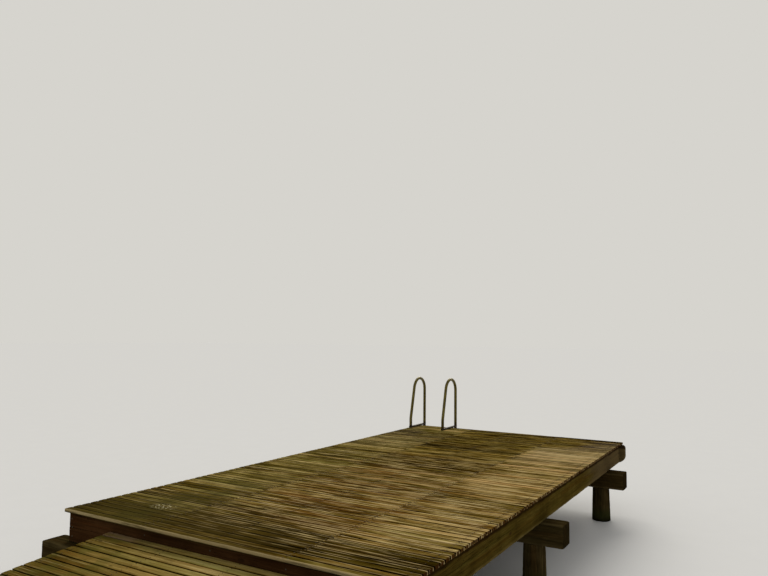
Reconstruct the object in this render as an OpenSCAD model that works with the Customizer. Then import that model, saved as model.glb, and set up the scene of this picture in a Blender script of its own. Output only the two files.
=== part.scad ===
// Wooden bathing jetty: a boarded platform on piled bents, reached by a sloping
// gangway one step lower, with a bent-tube ladder at its far left corner.
// X runs across, Y runs out from the shore and Z runs up. Z = 0 is the water.

/* [Platform] */
// Length of the platform, near edge to far edge
platform_l = 6000; // [4500:50:7000]
// Width of the platform
platform_w = 3045; // [2600:5:3600]
// Height of the platform's deck above the water
deck_top_z = 850; // [820:10:1200]
// Reach of the boards past the frame's outer faces
overhang = 30; // [5:1:40]

/* [Deck boards] */
// Width of a platform board
board_w = 70; // [60:1:120]
// Width of a gangway board
gangway_board_w = 95; // [70:1:140]
// Thickness of all boards
board_t = 28; // [21:1:36]
// Chamfer along a board's upper edges
board_arris = 4; // [1:0.5:8]
// Gap aimed at between boards, evened out over the length
board_gap = 5; // [3:0.5:10]
// Width of the left row of platform boards, up to its butt joints
left_row_w = 900; // [600:10:1100]
// Width of the right row of platform boards, up to its butt joints
right_row_w = 845; // [600:5:1100]
// Gap between boards' ends at a butt joint
end_gap = 4; // [2:0.5:8]

/* [Platform frame] */
// Depth of the platform's beams
beam_h = 225; // [190:5:260]
// Thickness of the platform's beams
beam_t = 75; // [50:1:100]
// Reach of the far beam's ends past the deck's sides
far_beam_over = 40; // [10:1:80]
// Radius of the far beam's sawn lower corners
far_beam_low_r = 90; // [30:1:120]
// Radius of the far beam's sawn upper corners
far_beam_top_r = 40; // [10:1:60]

/* [Bents] */
// Width of a cap beam along the jetty
cap_w = 200; // [150:5:260]
// Depth of a cap beam
cap_h = 200; // [150:5:220]
// Reach of the cap beams past the deck's sides
cap_over = 165; // [50:5:250]
// Diameter of the piles at the water
pile_d = 220; // [180:5:240]
// Diameter of the piles at their tops
pile_top_d = 196; // [150:2:200]
// Pile centres, in from the deck's sides
pile_in = 125; // [50:5:400]
// Far bent's centre, in from the far edge
far_bent_in = 750; // [400:10:1200]

/* [Gangway] */
// Length of the gangway, along its slope
gangway_l = 4000; // [3000:50:4400]
// Width of the gangway
gangway_w = 1985; // [1200:5:2200]
// Step down from the platform's deck to the gangway's
gangway_drop = 100; // [70:5:120]
// Rise of the gangway towards the platform, in degrees
gangway_slope = 4.5; // [0:0.5:5]
// Clear gap between the gangway and the platform
gangway_gap = 5; // [4:1:12]
// Thickness of the gangway's beams
gangway_beam_t = 60; // [45:1:80]
// Depth of the notches where sloping beams sit on level caps
seat_cut = 25; // [15:1:40]
// Width of a gangway cap along the jetty
gangway_cap_w = 150; // [120:5:200]
// Depth of a gangway cap
gangway_cap_h = 120; // [80:5:130]
// Reach of the gangway caps past the gangway's sides
gangway_cap_over = 100; // [40:5:200]
// Diameter of the gangway posts
post_d = 140; // [110:5:145]
// Post centres, in from the gangway's sides
post_in = 130; // [70:5:300]
// Shore bent's centre, in from the shore end
shore_bent_in = 250; // [200:10:600]

/* [Ladder] */
// Diameter of the ladder's tube
rail_d = 42; // [30:1:50]
// Wall of the ladder's tube
rail_wall = 2; // [1.5:0.5:4]
// Height of the hoops above the deck
rail_h = 750; // [600:10:1000]
// Distance between the two hoops
rail_spacing = 534; // [400:1:650]
// Left hoop's centre, in from the deck's left side
rail_side_in = 25; // [20:1:300]
// Outer leg's centre, out from the deck's far edge
rail_out = 118; // [60:1:160]
// Inner leg's centre, in from the deck's far edge
rail_in = 337; // [280:1:420]
// Radius of the hoop's top, on its centre line
hoop_r = 175; // [120:1:190]
// Height at which the inner leg starts to lean
knee_h = 140; // [80:5:250]
// Radius of the bend where it starts to lean
knee_r = 100; // [60:5:200]
// Width of the foot bars on the deck
foot_bar_w = 40; // [30:1:42]
// Thickness of the foot bars
foot_bar_t = 20; // [4:1:30]
// Reach of the foot bars past the inner legs
foot_bar_over = 35; // [25:1:80]
// Depth of a tread, front to back
tread_w = 70; // [45:1:100]
// Thickness of a tread
tread_t = 28; // [20:1:40]
// Height of the grip ribs along a tread
rib_h = 2; // [1:0.5:4]
// First tread's top, down from the deck
first_tread_drop = 200; // [100:10:250]
// Distance between treads
tread_pitch = 250; // [200:10:280]

/* [Hidden] */
$fn = 48;

deck_parts = 2;
gangway_inner_beams = 2;

// Butt joints of the platform's three rows of boards, each over an inner beam
left_joint_x = -platform_w / 2 + left_row_w;
right_joint_x = platform_w / 2 - right_row_w;

// Heights of the platform's levels
frame_top_z = deck_top_z - board_t;
cap_top_z = frame_top_z - beam_h;

// Frame faces along the platform
near_face_y = overhang;
far_face_y = platform_l - overhang;
frame_w = platform_w - 2 * overhang;

// Bent centres along the jetty, measured from the platform's near edge. The near
// cap carries the platform's near beam and the gangway's ends side by side.
near_bent_y = near_face_y;
far_bent_y = platform_l - far_bent_in;
middle_bent_y = (near_bent_y + far_bent_y) / 2;

// Gangway levels, measured square to its slope, and its top corner
gangway_y = near_face_y - gangway_gap;
gangway_z = deck_top_z - gangway_drop;
gangway_beam_h = gangway_z - board_t - cap_top_z + seat_cut;
gangway_frame_w = gangway_w - 2 * overhang;
shore_bent_s = gangway_l - shore_bent_in;
gangway_bent_s = shore_bent_s / 2;

// Ladder hoop: the inner leg leans on a line tangent to the hoop's top arc
rail_x = -platform_w / 2 + rail_side_in;
hoop_c = [rail_out - hoop_r, rail_h - rail_d / 2 - hoop_r];
knee = [-rail_in, knee_h];
to_hoop = hoop_c - knee;
lean = atan2(to_hoop.x, to_hoop.y) - asin(hoop_r / norm(to_hoop));
knee_t = knee_r * tan(lean / 2);

// The origin is at the middle of the footprint, at water level
jetty_near_y = slope_y(gangway_l) + board_arris * sin(gangway_slope);
jetty_far_y = platform_l + rail_out + max(rail_d, tread_w) / 2;
origin_y = (jetty_near_y + jetty_far_y) / 2;

// Extra length that lets a cutting body run right through
cut = 10;

// The tube is drawn a hair slimmer in its bends, and each straight laps into them
bend_draw = 0.4;
tube_lap = 0.5;

wood_deck = "#8a8069";
wood_gangway = "#958a6c";
wood_beam = "#7f7654";
wood_dark = "#57503c";
steel = "#9a9c9a";

// Height of the gangway's beam soffit at a distance s down its slope
function soffit_z(s) = gangway_z - s * sin(gangway_slope)
    - (board_t + gangway_beam_h) * cos(gangway_slope);

// Plan place of a point s down the slope
function slope_y(s) = gangway_y - s * cos(gangway_slope);

module at_origin() {
    translate([0, -origin_y, 0]) children();
}

// Puts what is drawn level, with y = 0 at the platform and z = 0 on top, on the slope
module on_slope() {
    translate([0, gangway_y, gangway_z]) rotate([gangway_slope, 0, 0]) children();
}

// A box that is centred on x
module block(w, y0, y1, z0, z1) {
    translate([-w / 2, y0, z0]) cube([w, y1 - y0, z1 - z0]);
}

// A board's section, its upper edges eased
module board_section(w) {
    polygon([[0, 0], [w, 0], [w, board_t - board_arris], [w - board_arris, board_t],
        [board_arris, board_t], [0, board_t - board_arris]]);
}

// One part, out of deck_parts, of a row of boards that fills a length from x0 to x1
module boards(length, x0, x1, w, part) {
    count = round((length + board_gap) / (w + board_gap));
    pitch = (length - w) / (count - 1);
    first = round((part - 1) * count / deck_parts);
    last = round(part * count / deck_parts) - 1;
    for (i = [first : last])
        translate([x0, i * pitch, -board_t]) rotate([90, 0, 90])
            linear_extrude(x1 - x0) board_section(w);
}

// A rectangle with rounded lower and upper corners, for a beam with shaped ends
module sawn_end_outline(w, h, low_r, top_r) {
    translate([-w / 2, low_r]) square([w, h - low_r - top_r]);
    translate([-w / 2 + low_r, 0]) square([w - 2 * low_r, low_r]);
    translate([-w / 2 + top_r, h - top_r]) square([w - 2 * top_r, top_r]);
    for (side = [-1, 1]) {
        translate([side * (w / 2 - low_r), low_r]) circle(r = low_r);
        translate([side * (w / 2 - top_r), h - top_r]) circle(r = top_r);
    }
}

module platform_boards(x0, x1, part) {
    color(wood_deck) at_origin()
        translate([0, 0, deck_top_z]) boards(platform_l, x0, x1, board_w, part);
}

module deck_left(part) {
    platform_boards(-platform_w / 2, left_joint_x - end_gap / 2, part);
}

module deck_middle(part) {
    platform_boards(left_joint_x + end_gap / 2, right_joint_x - end_gap / 2, part);
}

module deck_right(part) {
    platform_boards(right_joint_x + end_gap / 2, platform_w / 2, part);
}

// A beam along the platform, between the near and far beams
module long_beam(x) {
    color(wood_beam) at_origin()
        translate([x, 0, 0])
            block(beam_t, near_face_y + beam_t, far_face_y - beam_t, cap_top_z, frame_top_z);
}

module side_beam(side) {
    long_beam(side * (frame_w - beam_t) / 2);
}

// An inner beam, at a share of the way from the left joint to the right one
module inner_beam(share) {
    long_beam(left_joint_x + share * (right_joint_x - left_joint_x));
}

module near_beam() {
    color(wood_dark) at_origin()
        block(frame_w, near_face_y, near_face_y + beam_t, cap_top_z, frame_top_z);
}

module far_beam() {
    color(wood_beam) at_origin()
        translate([0, far_face_y, cap_top_z]) rotate([90, 0, 0])
            linear_extrude(beam_t)
                sawn_end_outline(platform_w + 2 * far_beam_over, beam_h,
                    far_beam_low_r, far_beam_top_r);
}

module cap(y) {
    color(wood_dark) at_origin()
        block(platform_w + 2 * cap_over, y - cap_w / 2, y + cap_w / 2, cap_top_z - cap_h, cap_top_z);
}

module pile(side, y) {
    color(wood_dark) at_origin()
        translate([side * (platform_w / 2 - pile_in), y, 0])
            cylinder(d1 = pile_d, d2 = pile_top_d, h = cap_top_z - cap_h);
}

module gangway_deck(part) {
    color(wood_gangway) at_origin() on_slope()
        mirror([0, 1, 0])
            boards(gangway_l, -gangway_w / 2, gangway_w / 2, gangway_board_w, part);
}

// The cap under the gangway at a distance s down the slope
module slope_cap(s) {
    y = slope_y(s);
    top = soffit_z(s) + seat_cut;
    color(wood_dark) at_origin()
        block(gangway_w + 2 * gangway_cap_over, y - gangway_cap_w / 2, y + gangway_cap_w / 2,
            top - gangway_cap_h, top);
}

module slope_post(side, s) {
    color(wood_dark) at_origin()
        translate([side * (gangway_w / 2 - post_in), slope_y(s), 0])
            cylinder(d = post_d, h = soffit_z(s) + seat_cut - gangway_cap_h);
}

// A sloping beam, notched over the level caps and cut plumb at the platform
module slope_beam(x) {
    color(wood_beam) difference() {
        at_origin() on_slope()
            translate([x, 0, 0])
                block(gangway_beam_t, overhang + gangway_beam_t - gangway_l, board_t,
                    -board_t - gangway_beam_h, -board_t);
        cap(near_bent_y);
        slope_cap(gangway_bent_s);
        slope_cap(shore_bent_s);
        at_origin()
            block(gangway_w, gangway_y, gangway_y + beam_h, 0, deck_top_z);
    }
}

module gangway_side_beam(side) {
    slope_beam(side * (gangway_frame_w - gangway_beam_t) / 2);
}

module gangway_inner_beam(i) {
    pitch = (gangway_frame_w - gangway_beam_t) / (gangway_inner_beams + 1);
    slope_beam(-(gangway_frame_w - gangway_beam_t) / 2 + i * pitch);
}

module gangway_header() {
    color(wood_beam) at_origin() on_slope()
        block(gangway_frame_w, overhang - gangway_l, overhang + gangway_beam_t - gangway_l,
            -board_t - gangway_beam_h, -board_t);
}

// A straight length of round bar between two points of the hoop's plane, which laps
// into the bends at both ends
module tube_straight(from, to, d) {
    run = to - from;
    translate([from.x, from.y, 0]) rotate([0, 0, atan2(run.y, run.x)]) rotate([0, 90, 0])
        translate([0, 0, -tube_lap]) cylinder(d = d, h = norm(run) + 2 * tube_lap);
}

// A bend round a centre in the hoop's plane, between two angles
module tube_bend(centre, r, from, to, d) {
    translate([centre.x, centre.y, 0]) rotate([0, 0, from])
        rotate_extrude(angle = to - from) translate([r, 0]) circle(d = d - bend_draw);
}

// The whole course of a rail as a bar, run on past its two open ends
module tube_course(d, past) {
    foot_y = foot_bar_t + tube_lap - past;
    leg_y = -deck_top_z + tube_lap - past;
    tube_straight([knee.x, foot_y], [knee.x, knee.y - knee_t], d);
    tube_bend([knee.x + knee_r, knee.y - knee_t], knee_r, 180 - lean, 180, d);
    tube_straight(knee + knee_t * [sin(lean), cos(lean)],
        hoop_c + hoop_r * [-cos(lean), sin(lean)], d);
    tube_bend(hoop_c, hoop_r, 0, 180 - lean, d);
    tube_straight([rail_out, leg_y], [rail_out, hoop_c.y], d);
}

// Turns the hoop's plane upright: its x runs out from the far edge, its y runs up
// from the deck, and it stands square to the edge at x
module hoop_plane(x) {
    at_origin() translate([x, platform_l, deck_top_z]) rotate([90, 0, 90]) children();
}

module ladder_rail(i) {
    color(steel) hoop_plane(rail_x + i * rail_spacing)
        difference() {
            tube_course(rail_d, 0);
            tube_course(rail_d - 2 * rail_wall, cut);
        }
}

// The room that an outer leg takes, for what is coped round it
module leg_body(i) {
    at_origin() translate([rail_x + i * rail_spacing, platform_l + rail_out, -cut])
        cylinder(d = rail_d, h = deck_top_z + rail_h);
}

// A flat bar from behind the inner leg to the outer leg, which it is welded round
module ladder_foot(i) {
    color(steel) difference() {
        at_origin() translate([rail_x + i * rail_spacing, platform_l, deck_top_z])
            linear_extrude(foot_bar_t) {
                translate([0, -rail_in - foot_bar_over + foot_bar_w / 2]) circle(d = foot_bar_w);
                translate([-foot_bar_w / 2, -rail_in - foot_bar_over + foot_bar_w / 2])
                    square([foot_bar_w, rail_in + foot_bar_over - foot_bar_w / 2 + rail_out]);
            }
        leg_body(i);
    }
}

// The section of a flat oval tread with grip ribs on top, its ribs' tops at height 0
module tread_section() {
    flat_w = tread_w - tread_t;
    ribs = 2 * floor(flat_w / (4 * rib_h) / 2) + 1;
    translate([0, -rib_h - tread_t / 2]) {
        square([flat_w, tread_t], center = true);
        for (side = [-1, 1])
            translate([side * flat_w / 2, 0]) circle(d = tread_t);
    }
    for (i = [0 : ribs - 1])
        translate([(i - (ribs - 1) / 2) * flat_w / ribs, -rib_h])
            square([rib_h, 2 * rib_h], center = true);
}

// A ribbed tread between the outer legs, coped round them
module ladder_tread(i) {
    color(steel) difference() {
        at_origin()
            translate([rail_x, platform_l + rail_out,
                deck_top_z - first_tread_drop - (i - 1) * tread_pitch])
                rotate([90, 0, 90]) linear_extrude(rail_spacing) tread_section();
        leg_body(0);
        leg_body(1);
    }
}

deck_left(1);  // deck_left_near
deck_left(2);  // deck_left_far
deck_middle(1);  // deck_middle_near
deck_middle(2);  // deck_middle_far
deck_right(1);  // deck_right_near
deck_right(2);  // deck_right_far
side_beam(-1);  // side_beam_left
side_beam(1);  // side_beam_right
near_beam();
far_beam();
inner_beam(0);  // inner_beam_1
inner_beam(1 / 2);  // inner_beam_2
inner_beam(1);  // inner_beam_3
cap(near_bent_y);  // near_cap
cap(middle_bent_y);  // middle_cap
cap(far_bent_y);  // far_cap
pile(-1, near_bent_y);  // near_pile_left
pile(1, near_bent_y);  // near_pile_right
pile(-1, middle_bent_y);  // middle_pile_left
pile(1, middle_bent_y);  // middle_pile_right
pile(-1, far_bent_y);  // far_pile_left
pile(1, far_bent_y);  // far_pile_right
gangway_deck(1);  // gangway_deck_1
gangway_deck(2);  // gangway_deck_2
gangway_side_beam(-1);  // gangway_side_beam_left
gangway_side_beam(1);  // gangway_side_beam_right
gangway_inner_beam(1);  // gangway_inner_beam_1
gangway_inner_beam(2);  // gangway_inner_beam_2
gangway_header();
slope_cap(gangway_bent_s);  // gangway_cap
slope_cap(shore_bent_s);  // shore_cap
slope_post(-1, gangway_bent_s);  // gangway_post_left
slope_post(1, gangway_bent_s);  // gangway_post_right
slope_post(-1, shore_bent_s);  // shore_post_left
slope_post(1, shore_bent_s);  // shore_post_right
ladder_rail(0);  // ladder_rail_left
ladder_rail(1);  // ladder_rail_right
ladder_foot(0);  // ladder_foot_left
ladder_foot(1);  // ladder_foot_right
ladder_tread(1);  // ladder_tread_1
ladder_tread(2);  // ladder_tread_2
ladder_tread(3);  // ladder_tread_3
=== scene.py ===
"""A wooden bathing jetty: the finish of its boards, timbers, piles and steel ladder.

Every piece is made in mesh code at the size and place of the node that it stands for.
Lengths are metres. X runs across the jetty, Y out from the shore and Z up.
"""
import math

import bpy
import numpy as np
from mathutils import Matrix, Vector


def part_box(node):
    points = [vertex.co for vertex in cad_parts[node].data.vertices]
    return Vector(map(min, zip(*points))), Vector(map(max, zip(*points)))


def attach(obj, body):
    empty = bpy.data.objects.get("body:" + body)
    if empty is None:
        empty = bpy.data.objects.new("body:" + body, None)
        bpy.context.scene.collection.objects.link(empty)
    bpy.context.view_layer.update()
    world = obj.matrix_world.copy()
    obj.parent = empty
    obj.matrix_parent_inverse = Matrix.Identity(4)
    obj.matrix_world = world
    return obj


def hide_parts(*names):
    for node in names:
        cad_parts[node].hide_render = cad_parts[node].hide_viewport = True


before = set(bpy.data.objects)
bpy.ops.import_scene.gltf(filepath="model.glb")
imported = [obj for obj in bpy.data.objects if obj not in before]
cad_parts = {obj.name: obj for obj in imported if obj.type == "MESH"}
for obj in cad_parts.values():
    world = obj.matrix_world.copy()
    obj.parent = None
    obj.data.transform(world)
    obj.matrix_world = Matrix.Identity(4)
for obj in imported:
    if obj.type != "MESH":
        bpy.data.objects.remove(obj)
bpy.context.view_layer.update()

SEED = 20260

# The decks in the frame: the platform's near left corner and underside, its far edge and
# top, and the gangway's left and upper edges
LEFT_X, NEAR_Y, SOFFIT_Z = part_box("deck_left_near")[0]
_, EDGE_Y, DECK_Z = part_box("deck_left_far")[1]
BOARD_T = DECK_Z - SOFFIT_Z
GANGWAY_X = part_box("gangway_deck_1")[0].x
GANGWAY_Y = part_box("gangway_deck_1")[1].y

# Slope of the gangway; its beams and the platform's rows of boards from left to right
SLOPE = math.radians(4.5)
GANGWAY_BEAMS = ("gangway_side_beam_left", "gangway_inner_beam_1", "gangway_inner_beam_2",
                 "gangway_side_beam_right")
ROWS = ("left", "middle", "right")

# Eased corners: the boards' chamfer in the frame, how round each kind of timber has worn,
# and the strip along a board's rim
CAD_ARRIS = 0.004
BOARD_ARRIS = 0.0040
BEAM_ARRIS = 0.006
CAP_ARRIS = 0.010
LOG_ARRIS = 0.003
WORN_RIM = 0.004

# Share of a corner's length that is worn; half the width of a split before it opens, and
# the room that it takes up in the outline of a sawn timber and of a log
WORN = 0.7
SPLIT_HALF = 0.0004
SAWN_SPLIT_ROOM = 0.011
LOG_SPLIT_ROOM = 0.009

# Along a timber: how long the waves are in its chipped corners, its wear, the line of its
# splits and its bow; the height of a wave from which it chips; how far a split's line
# strays, and how far a split opens for its depth
CHIP_WAVE = 0.16
WEAR_WAVE = 0.3
SPLIT_WAVE = 0.5
BOW_WAVE = 1.4
CHIP_FROM = 0.25
SPLIT_STRAY = 0.004
SPLIT_OPENS = 0.16

# Distances between the points of an outline, and between sections; a log's sides
OUTLINE_STEP = 0.024
SECTION_STEP = 0.05
BOARD_OUTLINE_STEP = 0.018
BOARD_SECTION_STEP = 0.045
LOG_SECTION_STEP = 0.022
LOG_SIDES = 52

# Width of a board, the gangway's gaps, and the shares of their width that boards dried to
BOARD_W = 0.070
GANGWAY_GAP = 0.005
DECK_SHRUNK = (0.940, 0.970)
GANGWAY_SHRUNK = (0.975, 0.995)

# How unevenly the boards are laid: short at an end, low, off their line, bowed, crowned
END_TRIM = 0.0020
LAID_LOW = 0.0018
OFF_LINE = 0.0012
BOARD_BOW = 0.0011
BOARD_CROWN = (0.0004, 0.0016)

# Butt joints between the rows of boards: how far they stray from the joint's line, how
# far apart the boards' ends are, how much end grain shows there, how far and how much a
# row's tone runs past them, and how far out that share changes
SEAM_WANDER = 0.0020
SEAM_GAP = 0.0008
SEAM_GRAIN = 0.12
SEAM_BLUR = 0.30
SEAM_SHARES = (0.5, 0.3)
SEAM_REACH = (2.5, 3.8)
MOST_BOARDS = 200

# Half the width of a board's face, which its darker edges are measured from
HALF_BOARD = 0.0335

# Screws: their radii, their distance from a board's middle line and from its end, and how
# far they stand proud and stray
SCREW_R = 0.0042
BEAM_SCREW_R = 0.006
SCREW_ROW = 0.019
SCREW_END = 0.018
SCREW_LIFT = 0.0001
SCREW_OFF = 0.002
BEAM_SCREW_OFF = 0.006

# Coach screws: radii of the head and the washer
BOLT_HEAD = 0.017
WASHER = 0.024

# The far beam's rounded ends
SAWN_LOW_R = 0.090
SAWN_TOP_R = 0.040

# Ladder: radii, heights and a wall that the frame's boxes don't give; a tread's ribs, how
# high they are, and half their width at the foot and at the top
HOOP_R = 0.175
KNEE_H = 0.140
KNEE_R = 0.100
RAIL_START = 0.004
RAIL_WALL = 0.002
RAIL_HOLLOW = 0.08
RAIL_SIDES = 32
FOOT_BEVEL = 0.001
TREAD_RIBS = 5
TREAD_RIB = 0.002
RIB_FOOT = 0.0016
RIB_TOP = 0.0008
WELD_BEAD = 0.0028

# Distance from one growth ring to the next
RING_WIDTH = 0.0046

# The floor: half its width, and its level
FLOOR_REACH = 150.0
FLOOR_LEVEL = -0.0015

# Camera of the photograph, worked out from the platform's edges, and placed from the
# near left corner of its deck
CAMERA_FROM_CORNER = (4.8375, -3.2599, 1.3600)
CAMERA_RIGHT = (0.8594, 0.5105, 0.0096)
CAMERA_UP = (0.0299, -0.0690, 0.9972)
CAMERA_LENS = 30.86
CAMERA_SENSOR = 36.0

# Lighter (+) and darker (-) stretches of each row of boards: how far out from the near
# edge, and the tone there
ROW_TONES = {
    "left": (
        (0.0, -1.2), (0.5, -0.3), (1.1, 0.8), (1.9, 0.0), (2.7, 1.1), (3.5, -0.3),
        (4.2, 0.9), (4.7, 0.4), (5.1, -0.4), (5.5, 0.3), (5.9, 0.7),
    ),
    "middle": (
        (0.0, -1.0), (0.5, -1.3), (1.2, -0.2), (1.9, -0.4), (2.6, 0.4), (3.2, -0.9),
        (4.1, 0.1), (4.5, -1.0), (5.2, -0.9), (5.9, -1.5),
    ),
    "right": (
        (0.4, -0.6), (1.2, 1.4), (1.9, 0.6), (2.5, 1.9), (3.3, 0.7), (4.4, 2.1),
        (5.0, 0.7), (5.4, -0.8), (5.9, -1.3),
    ),
}

# Values kept at each point of a wooden piece for its material, and how wide each is
POINT_VALUES = {"grain": 3, "across": 1, "seed": 1, "tone": 1, "wear": 1, "end": 1}


def srgb(red, green, blue):
    """A display colour, 0 to 255, as the linear colour that a shader takes."""
    shares = np.array([red, green, blue]) / 255
    linear = np.where(shares <= 0.04045, shares / 12.92, ((shares + 0.055) / 1.055) ** 2.4)
    return (*linear.tolist(), 1.0)


def unit(vector):
    vector = np.asarray(vector, float)
    return vector / np.linalg.norm(vector)


def circle(count):
    """Evenly spaced turns round a circle."""
    return np.linspace(0, 2 * math.pi, count, endpoint=False)


def show(name, data):
    """A new object of the scene."""
    obj = bpy.data.objects.new(name, data)
    bpy.context.scene.collection.objects.link(obj)
    return obj


def seeded(number):
    return np.random.default_rng(SEED + number)


def node_points(node):
    return np.array([v.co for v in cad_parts[node].data.vertices])


def node_middle(node):
    """Where the middle of a node lies across the jetty."""
    lo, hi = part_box(node)
    return (lo.x + hi.x) / 2


# Mesh making


class Place:
    """Where a bar's own axes lie: u along it, v across it and w up through it."""

    def __init__(self, origin, u=(1, 0, 0), v=(0, 1, 0)):
        self.origin = np.asarray(origin, float)
        self.axes = np.array([unit(u), unit(v), np.cross(unit(u), unit(v))])

    def __call__(self, points):
        return self.origin + points @ self.axes

    def local(self, points):
        return (points - self.origin) @ self.axes.T


class Piece:
    """One joined mesh in the making, with the values that its material reads."""

    def __init__(self):
        self.points, self.faces, self.count, self.values = [], [], 0, {}

    def add(self, points, faces, **values):
        self.faces += [[i + self.count for i in face] for face in faces]
        self.points.append(points)
        self.count += len(points)
        for key, given in values.items():
            width = POINT_VALUES[key]
            given = np.broadcast_to(np.reshape(given, (-1, width)), (len(points), width))
            self.values.setdefault(key, []).append(given)

    def build(self, name, material, nodes=(), sharp=35):
        mesh = bpy.data.meshes.new(name)
        mesh.from_pydata(np.concatenate(self.points).tolist(), [], self.faces)
        for key, given in self.values.items():
            wide = POINT_VALUES[key] == 3
            layer = mesh.attributes.new(key, "FLOAT_VECTOR" if wide else "FLOAT", "POINT")
            data = np.concatenate(given).ravel().astype(np.float32)
            layer.data.foreach_set("vector" if wide else "value", data)
        mesh.shade_smooth()
        mesh.set_sharp_from_angle(angle=math.radians(sharp))
        mesh.materials.append(material)
        obj = show(name, mesh)
        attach(obj, "root")
        if nodes:
            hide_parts(*nodes)


def lofted(rings):
    """Points and faces of a capped skin over rings that have as many points each."""
    index = np.arange(len(rings) * len(rings[0])).reshape(len(rings), -1)
    after = np.roll(index, -1, axis=1)
    sides = np.stack([index[:-1], after[:-1], after[1:], index[1:]], -1).reshape(-1, 4)
    faces = sides.tolist() + [index[0, ::-1].tolist(), index[-1].tolist()]
    return np.concatenate(rings), faces


def wander(rng, x, wavelength):
    """A smooth random curve between about -1 and 1, of three waves."""
    total = np.zeros_like(x)
    for octave in range(3):
        rate = 2 * math.pi / wavelength * 1.7**octave * rng.uniform(0.8, 1.25)
        total = total + np.sin(x * rate + rng.uniform(0, 2 * math.pi)) / 1.5**octave
    return total / 2.1


def sawn_loop(width, height, arris, step, splits=(), rim=0.0):
    """The outline of a sawn section, top at w = 0, counterclockwise from its lower left.

    Rows are v, w, outward normal, arris share, split number and side of the split. A split
    is (face, share of the way along it); the faces are bottom, right, top and left. A rim
    is a narrow strip along both edges of the top.
    """
    normals = ((0, -1), (1, 0), (0, 1), (-1, 0))
    half = width / 2 - arris
    corners = ((-half, arris - height), (half, arris - height), (half, -arris), (-half, -arris))
    rows = []
    for face, ((v, w), normal) in enumerate(zip(corners, normals)):
        for turn, share in ((180, 0.6), (225, 1.0), (270, 0.6)):
            angle = math.radians(turn + 90 * face)
            out = (math.cos(angle), math.sin(angle))
            rows.append((v + arris * out[0], w + arris * out[1], *out, share, -1, 0))
        along = (-normal[1], normal[0])
        run = (width if face % 2 == 0 else height) - 2 * arris
        start = (v + arris * normal[0], w + arris * normal[1])
        parts = max(1, round(run / step))
        marks = [(run * i / parts, -1, 0) for i in range(1, parts)]
        if rim and face == 2:
            marks += [(rim, -1, 0), (run - rim, -1, 0)]
        for number, (split_face, share) in enumerate(splits):
            if split_face == face:
                at = run * share
                marks = [m for m in marks if m[1] >= 0 or abs(m[0] - at) > SAWN_SPLIT_ROOM]
                marks += [(at + side * SPLIT_HALF, number, side) for side in (-1, 0, 1)]
        for at, number, side in sorted(marks):
            point = (start[0] + at * along[0], start[1] + at * along[1])
            rows.append((*point, *normal, 0.0, number, side))
    return np.array(rows)


def round_loop(radius, splits):
    """The outline of a log, centred on its own axis, with splits at the given angles."""
    angles = [(2 * math.pi * i / LOG_SIDES, -1, 0) for i in range(LOG_SIDES)]
    for number, turn in enumerate(splits):
        room = LOG_SPLIT_ROOM / radius
        angles = [a for a in angles if a[1] >= 0 or abs(a[0] - turn) > room]
        angles += [(turn + side * SPLIT_HALF / radius, number, side) for side in (-1, 0, 1)]
    rows = []
    for angle, number, side in sorted(angles):
        out = (math.cos(angle), math.sin(angle))
        rows.append((radius * out[0], radius * out[1], *out, 0.0, number, side))
    return np.array(rows)


def stations_along(length, arris, spacing):
    """Where a bar's sections lie: evenly along it, and close together at its ends."""
    inner = np.linspace(0, length, max(3, round(length / spacing)) + 1)[1:-1]
    near = np.array([0, arris, 4 * arris])
    kept = inner[(inner > 8 * arris) & (inner < length - 8 * arris)]
    return np.concatenate([near, kept, length - near[::-1]])


def split_depth(rng, u, length, deepest, count, reach):
    """How deep a drying split runs at each station, as a few lens-shaped openings."""
    depth = np.zeros_like(u)
    for _ in range(count):
        middle = rng.choice([0.0, length, rng.uniform(0, length), rng.uniform(0, length)])
        half = rng.uniform(0.4, 1.0) * reach
        lens = np.sqrt(np.clip(1 - ((u - middle) / half) ** 2, 0, None))
        depth = np.maximum(depth, rng.uniform(0.5, 1.0) * deepest * lens)
    return depth


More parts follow.
